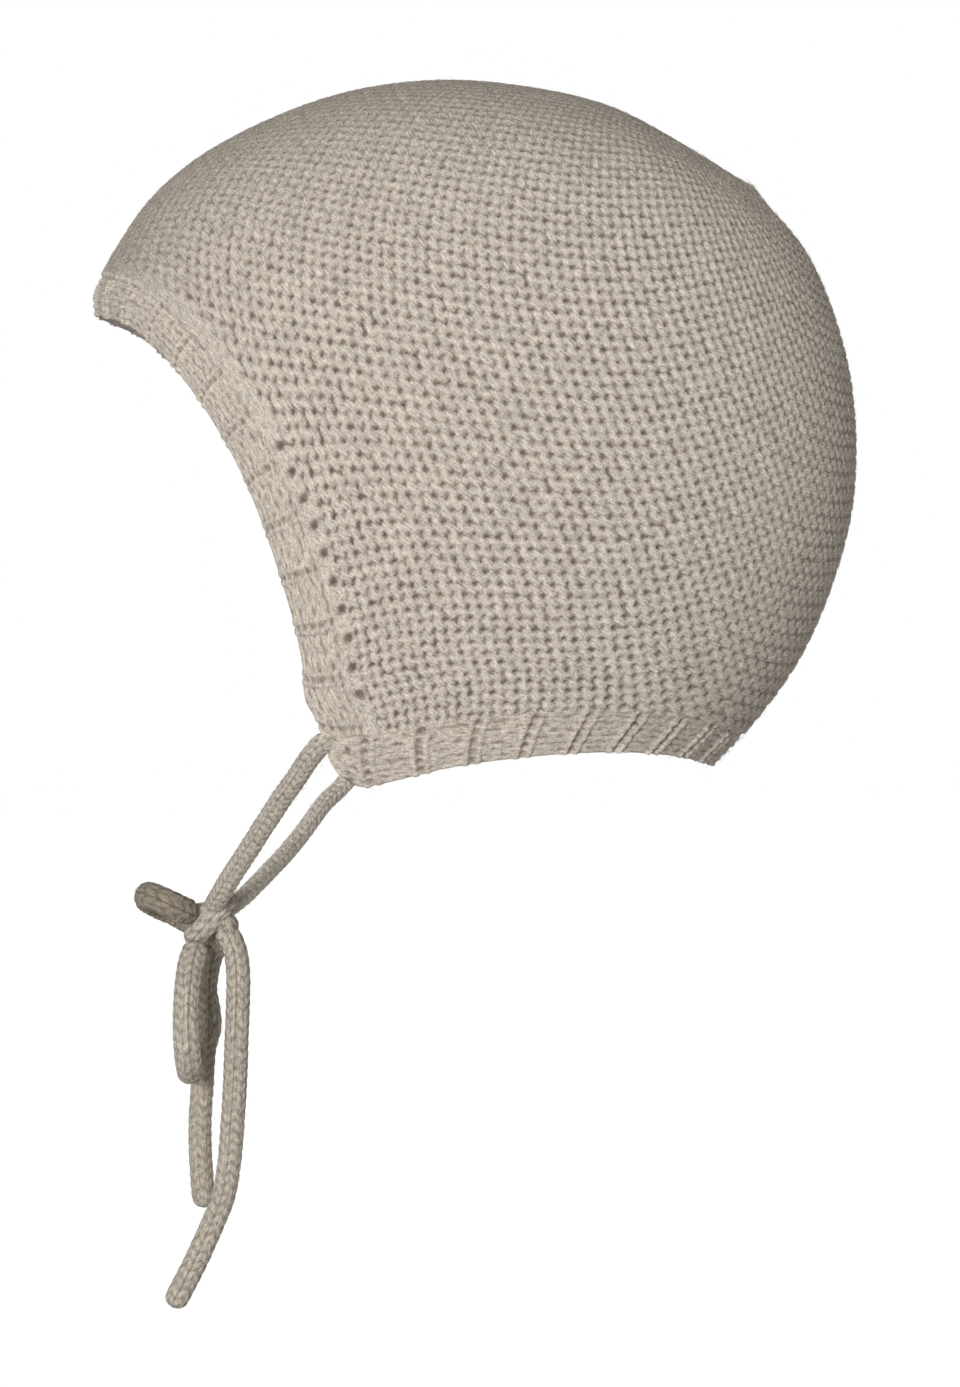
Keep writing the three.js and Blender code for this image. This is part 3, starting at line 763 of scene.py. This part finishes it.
def crown_piece(name, first, last, mirror):
    """One quarter of the crown, from one share of the rise to another."""
    steps = round(crown_rise_steps * (last - first))
    r, s = crown_places(np.linspace(0, 1, crown_round_steps + 1), np.linspace(first, last, steps + 1))
    ridges = count_over(r, s, "ridges")
    stitches = count_over(r, s, "stitches")
    surface = outside(r, s)
    steps_across = np.linalg.norm(np.diff(surface, axis=1), axis=-1)
    from_join = np.cumsum(steps_across, axis=1) - crown_tuck
    from_join = np.concatenate([np.full((len(r), 1), -crown_tuck), from_join], axis=1)
    height = stitch_height(
        ridges, stitches, (ridge_gap, stitch_gap), garter_bumps, garter_wildness, 1 - fade(r, back_closing)
    )
    plain = plain_share * (1 - eased(from_join, plain_strip_start, plain_strip))
    height = height + (plain_height - height) * plain
    hole = eyelets(s, from_join)
    faded = np.maximum(fade(s, top_fade), fade(r, back_fade))
    depth = knit_depth * (1 - faded_depth * faded)
    outer = surface + outward(r, s) * (crest_height - depth * (1 - height) - eyelet_depth * hole)[..., None]
    r_in, s_in = r[::inside_steps, ::inside_steps], s[::inside_steps, ::inside_steps]
    inner = outside(r_in, s_in) - outward(r_in, s_in) * knit_wall
    points, faces, inner_faces = folded_sheet(outer, inner)
    if mirror:
        points[:, 0] *= -1
        faces = [face[::-1] for face in faces]
    # Towards the middle of the top and of the back the colour fades to a flat level of painted shade, darker
    # towards the top, and the eyelets are painted dark as painted shade in their hollows.
    painted_shade_level = back_painted_shade + (top_painted_shade - back_painted_shade) * eased(s, top_painted_shade_start, top_painted_shade_end)
    shading = (height + (painted_shade_level - height) * faded_shade * faded) * (1 - hole)
    heights = np.concatenate([shading.ravel(), np.full(r_in.size, plain_height)])
    places = np.stack([stitches * stitch_gap, ridges * ridge_gap], axis=-1)
    places = np.concatenate([places.reshape(-1, 2), places[::inside_steps, ::inside_steps].reshape(-1, 2)])
    piece = finished_piece(name, points, faces, heights, places, inner_faces)
    piece.data.materials.append(crown_wool)
    piece.data.materials.append(inside_wool_painted_light)
    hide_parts("crown")


for side_name, mirror in (("left", False), ("right", True)):
    crown_piece(f"crown_{side_name}_low", 0, 0.5, mirror)
    crown_piece(f"crown_{side_name}_high", 0.5, 1, mirror)


# Face band and neck band.
# Rib knitted onto the edges of the crown in the same wool: pairs of raised ribs cross each band, and
# between them the yarn lies in fine wavy rows along the band.
band_wool = wool(
    "band_wool", light=(0.52, 0.462, 0.395), shade=(0.20, 0.157, 0.118), shade_up_to=0.92,
    fibre_bump=1.0,
)
band_wall = 0.0024
rib_pitch = 0.0103
band_step = 0.0003
row_gap = 0.0028
row_stitch = 0.0030
row_relief = 0.00045
row_wildness = 0.1
row_surface_height = 0.8
lump_wildness = 0.15
plain_corner_start = 0.8
dot_gap = 0.0019
dot_radius = 0.00062
dot_depth = 0.0006
dot_shade = 0.62
bead_size = 0.16
rib_roundness = 0.7
rib_fade = {"strength": 0.7, "start": 0.0074, "end": 0.0094}
rib_wildness = 0.1
rib_painted_highlight = 1.1
straightened_end = 0.04
band_ribs = {
    "face": {"first": 0.12, "spread": 0.00098, "half_width": 0.00070, "height": 0.00072, "lean": 0.0,
             "plain_corner": 0},
    "neck": {"first": 0.66, "spread": 0.00122, "half_width": 0.00080, "height": 0.00076, "lean": 0.33,
             "plain_corner": 0.0058},
}
# Two wavy rows of yarn along a band, in shares of the gap between pairs of rows and of a stitch.
band_rows = [
    {"row": 0.25, "place": 0.0, "length": 0.00165, "width": 0.00068, "tilt": 10, "height": 1.0},
    {"row": 0.25, "place": 0.5, "length": 0.00165, "width": 0.00068, "tilt": -10, "height": 0.88},
    {"row": 0.75, "place": 0.25, "length": 0.00165, "width": 0.00068, "tilt": 10, "height": 1.0},
    {"row": 0.75, "place": 0.75, "length": 0.00165, "width": 0.00068, "tilt": -10, "height": 0.88},
]


def band_relief(distance, across, length, ribs):
    """Height of a band's yarn and how far it stands out, at a distance along the band and across it."""
    pairs = round(length / rib_pitch - ribs["first"])
    pitch = length / (pairs + ribs["first"])
    rows = 0.3 + 0.6 * stitch_height(
        across / row_gap, distance / row_stitch, (row_gap, row_stitch), band_rows, row_wildness
    )
    corner = ribs["plain_corner"]
    if corner:
        lumps = 0.15 + 0.85 * stitch_height(
            across / ridge_gap, distance / stitch_gap, (ridge_gap, stitch_gap), garter_bumps, lump_wildness
        )
        rows = rows + (lumps - rows) * (1 - eased(distance, plain_corner_start * corner, corner))
    lean = ribs["lean"] * (1 - eased(distance, length - straightened_end, length))
    leaning = distance - lean * (across - neck_band_width / 2)
    from_pair = ((leaning / pitch - ribs["first"] + 0.5) % 1 - 0.5) * pitch
    beside = (np.abs(from_pair) - ribs["spread"]) / ribs["half_width"]
    rib = np.maximum(1 - beside**2, 0) ** rib_roundness * (1 - fade(across, rib_fade))
    chance = uneven(np.floor(distance / pitch), np.round(across / dot_gap), 3)
    rib = rib * (1 - rib_wildness + rib_wildness * chance)
    beads = np.cos(2 * math.pi * across / dot_gap + 1.5 * np.sign(from_pair))
    rib = rib * (1 - bead_size + bead_size * beads)
    dot = pit(from_pair, (across / dot_gap % 1 - 0.5) * dot_gap, dot_radius)
    lift = row_relief * (rows - row_surface_height) + ribs["height"] * rib - dot_depth * dot
    # The ribs are painted lighter as a highlight, and the dots between them darker as painted shade.
    height = np.maximum(rows, rib_painted_highlight * rib) * (1 - dot_shade * dot)
    return height, lift


def band_piece(name, node, r, s, height, lift, distance, across):
    """Both halves of a band from the places of its left half."""
    outer = outside(r, s) + outward(r, s) * (band_wall - knit_wall + lift)[..., None]
    r_in, s_in = r[::inside_steps, ::inside_steps], s[::inside_steps, ::inside_steps]
    inner = outside(r_in, s_in) - outward(r_in, s_in) * knit_wall

    def both(grid, mirrored=True):
        """The grid of the left half and that of the right half after it."""
        other = grid[-2::-1].copy()
        if grid.ndim == 3 and mirrored:
            other[..., 0] *= -1
        return np.concatenate([grid, other])

    points, faces, inner_faces = folded_sheet(both(outer), both(inner))
    heights = np.concatenate([both(height).ravel(), np.full(both(r_in).size, plain_height)])
    places = both(np.stack([distance, across], axis=-1), mirrored=False)
    inner_places = places[::inside_steps, ::inside_steps]
    places = np.concatenate([places.reshape(-1, 2), inner_places.reshape(-1, 2)])
    piece = finished_piece(name, points, faces, heights, places, inner_faces)
    piece.data.materials.append(band_wool)
    piece.data.materials.append(inside_wool_painted_light)
    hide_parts(node)


def band_grid(length, width):
    """Distances along and across a band, with steps in fours to suit the inside."""
    along_steps = inside_steps * round(length / band_step / inside_steps)
    across_steps = inside_steps * round(width / band_step / inside_steps)
    return np.meshgrid(np.linspace(0, width, across_steps + 1), np.linspace(0, length, along_steps + 1))


edge_shares, edge_reached = measured(lambda t: outside(np.zeros_like(t), foot + (1 - foot) * t))
face_length = edge_reached[-1]
across, distance = band_grid(face_length, face_band_width)
share = np.interp(distance, edge_reached, edge_shares)
r, s = np.zeros_like(share), foot + (1 - foot) * share
for _ in range(4):
    r = face_join(s) * across / face_band_width
    s = face_band_foot(r) + (1 - face_band_foot(r)) * share
s[-1] = 1
height, lift = band_relief(distance, across, face_length, band_ribs["face"])
# A chain of stitches closes the face band beside the eyelets.
chain_place = 0.0093
chain_half_width = 0.00075
chain_stitch = 0.00295
chain_height = 0.0008
chain_base = -0.0001
chain_wave = 0.25
from_chain = across - chain_place
wave = 1 - chain_wave + chain_wave * np.cos(2 * math.pi * (distance + 0.25 * from_chain) / chain_stitch)
chain = np.maximum(1 - (from_chain / chain_half_width) ** 2, 0) ** 0.5 * wave
hole = eyelets(s, across - face_band_width)
lift = np.maximum(lift, chain_base + chain_height * chain) - eyelet_depth * hole
# The chain is painted lighter as a highlight, and the eyelets dark as painted shade in their hollows.
height = np.maximum(height, rib_painted_highlight * chain) * (1 - hole)
band_piece("face_band_knit", "face_band", r, s, height, lift, distance, across)

edge_shares, edge_reached = measured(lambda t: outside(t, np.zeros_like(t)))
neck_length = edge_reached[-1]
across, distance = band_grid(neck_length, neck_band_width)
across = across[:, ::-1]
r = np.interp(distance, edge_reached, edge_shares)
r[-1] = 1
s = neck_strip(neck_band_width)(r) * across / neck_band_width
height, lift = band_relief(distance, across, neck_length, band_ribs["neck"])
band_piece("neck_band_knit", "neck_band", r, s, height, lift, distance, across)


# Stray fibres.
# Fine hairs of the brushed wool stand off the knit and off the cords, each a thin tapering thread.
fibre_wool = bpy.data.materials.new("fibre_wool")
fibre_wool.use_nodes = True
fibre_wool.node_tree.nodes["Principled BSDF"].inputs["Base Color"].default_value = (0.56, 0.51, 0.44, 1)
fibre_wool.node_tree.nodes["Principled BSDF"].inputs["Roughness"].default_value = 0.8
fibre_count = 4400
cord_fibre_count = 900
fibre_radius = 0.000035
fibre_taper = 0.25
shortest_fibre = 0.0014
longest_fibre = 0.0038
most_curl = 0.35
fibre_stand = 0.0005
fibre_root_height = 0.00025
cord_root_depth = 0.0002
chance = np.random.default_rng(7)
r = chance.uniform(0.01, 1, fibre_count)
s = 1 - chance.uniform(0, 1, fibre_count) ** 0.85
s = np.clip(s, 0.01, 1)
roots = outside(r, s)
normals = outward(r, s)
flip = np.where(chance.uniform(0, 1, fibre_count) < 0.5, -1.0, 1.0)
roots[:, 0] *= flip
normals[:, 0] *= flip
for path, diameter in cord_paths:
    count = round(cord_fibre_count / len(cord_paths))
    places = chance.uniform(0, 1, count) * (len(path) - 1)
    low = places.astype(int).clip(0, len(path) - 2)
    centre = path[low] + (path[low + 1] - path[low]) * (places - low)[:, None]
    ahead = path[low + 1] - path[low]
    ahead /= np.linalg.norm(ahead, axis=1)[:, None]
    out = chance.normal(size=(count, 3))
    out -= ahead * np.sum(out * ahead, axis=1)[:, None]
    out /= np.linalg.norm(out, axis=1)[:, None]
    roots = np.concatenate([roots, centre + out * (diameter / 2 - cord_root_depth)])
    normals = np.concatenate([normals, out])
total = len(roots)
heading = chance.normal(size=(total, 3))
heading -= normals * np.sum(heading * normals, axis=1)[:, None]
heading /= np.linalg.norm(heading, axis=1)[:, None]
sideways = np.cross(normals, heading)
reach = chance.uniform(shortest_fibre, longest_fibre, total)[:, None]
curl = chance.uniform(-most_curl, most_curl, total)[:, None]
stand = (0.15 + 0.85 * chance.uniform(0, 1, total) ** 3)[:, None] * fibre_stand
stations = np.linspace(0, 1, 5)
threads = np.stack([
    roots + heading * reach * t + sideways * reach * curl * t**2
    + normals * (stand * np.sin(2.2 * t) + fibre_root_height)
    for t in stations
], axis=1)
corners = []
for station in (1, 2, 3):
    for corner in range(3):
        angle = 2 * math.pi * corner / 3
        around = normals * math.cos(angle) + sideways * math.sin(angle)
        corners.append(threads[:, station] + around * fibre_radius * (1.1 - fibre_taper * station))
points = np.stack([threads[:, 0], *corners, threads[:, 4]], axis=1)
# Each thread has a root, three rings of three corners and a tip.
pattern = []
for corner in range(3):
    after = (corner + 1) % 3
    pattern.append([0, 1 + after, 1 + corner])
    for ring in (0, 1):
        first, second = 1 + 3 * ring, 4 + 3 * ring
        pattern.append([first + corner, first + after, second + after])
        pattern.append([first + corner, second + after, second + corner])
    pattern.append([7 + corner, 7 + after, 10])
faces = (np.array(pattern)[None] + 11 * np.arange(total)[:, None, None]).reshape(-1, 3)
mesh = bpy.data.meshes.new("stray_fibres")
mesh.from_pydata(points.reshape(-1, 3).tolist(), [], faces.tolist())
fibres = bpy.data.objects.new("stray_fibres", mesh)
bpy.context.scene.collection.objects.link(fibres)
mesh.materials.append(fibre_wool)
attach(fibres, "root")


# Floor.
# A plain pale floor below the hanging bonnet, lit from within so that it looks as white as the walls.
floor_height = -0.32
floor_radius = 14
bpy.ops.mesh.primitive_circle_add(
    vertices=96, radius=floor_radius, fill_type="NGON", location=(0, 0, floor_height)
)
floor = bpy.context.object
floor.name = "studio_floor"
floor_paint = bpy.data.materials.new("floor_paint")
floor_paint.use_nodes = True
paint = floor_paint.node_tree.nodes["Principled BSDF"]
paint.inputs["Base Color"].default_value = (0.85, 0.85, 0.85, 1)
paint.inputs["Roughness"].default_value = 0.9
paint.inputs["Emission Color"].default_value = (1, 1, 1, 1)
floor_seen = floor_paint.node_tree.nodes.new("ShaderNodeLightPath")
floor_glow = floor_paint.node_tree.nodes.new("ShaderNodeMath")
floor_glow.operation = "MULTIPLY"
floor_glow.inputs[1].default_value = 0.5
floor_paint.node_tree.links.new(floor_seen.outputs["Is Camera Ray"], floor_glow.inputs[0])
floor_paint.node_tree.links.new(floor_glow.outputs["Value"], paint.inputs["Emission Strength"])
floor.data.materials.append(floor_paint)
